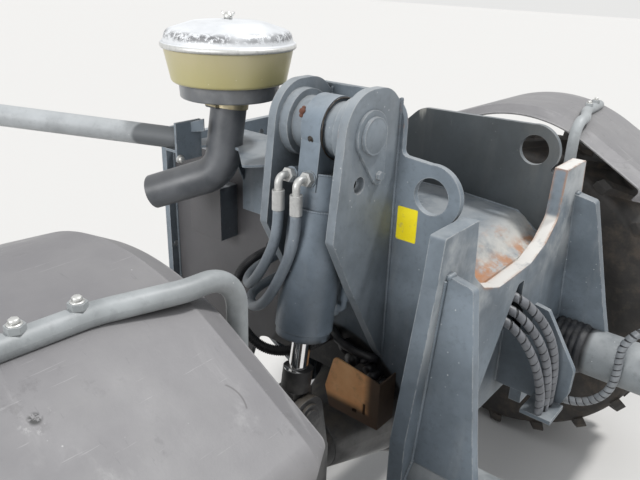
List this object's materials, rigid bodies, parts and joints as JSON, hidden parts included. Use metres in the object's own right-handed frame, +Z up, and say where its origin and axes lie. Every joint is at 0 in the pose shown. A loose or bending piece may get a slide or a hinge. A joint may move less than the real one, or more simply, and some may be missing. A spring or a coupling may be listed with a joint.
{
  "type": "telehandler front chassis section with steered axle and levelling ram",
  "caption": "Front chassis section of a telehandler: trough frame, oscillating steered axle with wheels and mudguards, frame-levelling ram, engine intake pre-cleaner and hoses.",
  "frame": {"origin": "centre of the rear mounting face, where the section joins the rest of the chassis", "axes": "+X forward, +Y to the machine's left, +Z up"},
  "size_m": [1.2937, 2.43, 1.6554],
  "materials": {
    "chassis_paint": "satin, worn and rusty on edges",
    "axle_paint": "dull and oily",
    "wheel_paint": "satin",
    "ram_paint": "satin",
    "primer": "matt red-brown primer",
    "chrome": "polished",
    "zinc": "zinc plated",
    "hose_rubber": "dusty",
    "black_rubber": "satin",
    "intake_rubber": "matt",
    "mudguard_plastic": "scratched",
    "tyre": "dusty",
    "bowl_plastic": "milky, see-through when new",
    "dome_metal": "weathered silver"
  },
  "bodies": {
    "frame": {"side_plate_right": "chassis_paint", "side_plate_left": "chassis_paint", "front_plate": "chassis_paint", "trough_floor": "chassis_paint", "front_crossmember": "chassis_paint", "gussets": "chassis_paint", "stabiliser_tubes": "chassis_paint", "rear_bulkhead": "chassis_paint", "axle_hangers": "chassis_paint", "level_ear_front": "chassis_paint", "level_ear_rear": "chassis_paint", "level_pin": "ram_paint", "intake_bracket": "chassis_paint", "side_box": "chassis_paint", "hose_guard": "primer", "arm_tube": "ram_paint", "intake_elbow": "intake_rubber", "precleaner_bowl": "bowl_plastic", "precleaner_dome": "dome_metal", "loom_hose": "black_rubber", "front_hose_1": "black_rubber", "front_hose_2": "black_rubber", "front_hose_3": "black_rubber", "side_hose": "black_rubber"},
    "axle": {"axle_housing": "axle_paint", "level_lower_pin": "axle_paint", "steering_barrel": "axle_paint"},
    "steering_rod": {"steering_rod": "chrome"},
    "ram_barrel": {"level_barrel": "ram_paint", "level_fittings": "zinc", "level_hose_rear": "hose_rubber", "level_hose_front": "hose_rubber"},
    "ram_rod": {"level_rod": "chrome"},
    "knuckle_left": {"knuckle_left": "axle_paint", "mudguard_left": "mudguard_plastic", "mudguard_tube_left": "ram_paint"},
    "wheel_left": {"hub_left": "axle_paint", "rim_left": "wheel_paint", "tyre_left": "tyre"},
    "knuckle_right": {"knuckle_right": "axle_paint", "mudguard_right": "mudguard_plastic", "mudguard_tube_right": "ram_paint"},
    "wheel_right": {"hub_right": "axle_paint", "rim_right": "wheel_paint", "tyre_right": "tyre"}
  },
  "joints": [
    {"name": "axle_swing", "type": "hinge", "parent": "frame", "child": "axle", "pos_m": [0.6, 0, -0.3], "axis": [1, 0, 0], "range_deg": [-8, 8]},
    {"name": "ram_swing", "type": "hinge", "parent": "frame", "child": "ram_barrel", "pos_m": [0.662, -0.3746, 0.555], "axis": [1, 0, 0], "range_deg": [-6, 6]},
    {"name": "ram_stroke", "type": "slide", "parent": "ram_barrel", "child": "ram_rod", "axis": [0, -0.1625, -0.9867], "range_m": [-0.072, 0.072]},
    {"name": "steer_left", "type": "hinge", "parent": "axle", "child": "knuckle_left", "pos_m": [0.6, 0.815, -0.3], "axis": [0, 0, 1], "range_deg": [-32, 32]},
    {"name": "steer_right", "type": "hinge", "parent": "axle", "child": "knuckle_right", "pos_m": [0.6, -0.815, -0.3], "axis": [0, 0, 1], "range_deg": [-32, 32]},
    {"name": "steer_stroke", "type": "slide", "parent": "axle", "child": "steering_rod", "axis": [0, 1, 0], "range_m": [-0.088, 0.088]},
    {"name": "wheel_left_spin", "type": "hinge", "parent": "knuckle_left", "child": "wheel_left", "pos_m": [0.6, 1.007, -0.3], "axis": [0, 1, 0], "continuous": true},
    {"name": "wheel_right_spin", "type": "hinge", "parent": "knuckle_right", "child": "wheel_right", "pos_m": [0.6, -1.007, -0.3], "axis": [0, 1, 0], "continuous": true}
  ],
  "couplings": [
    {"joint": "ram_swing", "follows": "axle_swing", "ratio": -0.21412},
    {"joint": "ram_stroke", "follows": "axle_swing", "m_per_rad": 0.50565},
    {"joint": "steer_right", "follows": "steer_left", "ratio": 1},
    {"joint": "steer_stroke", "follows": "steer_left", "m_per_rad": -0.15649}
  ]
}
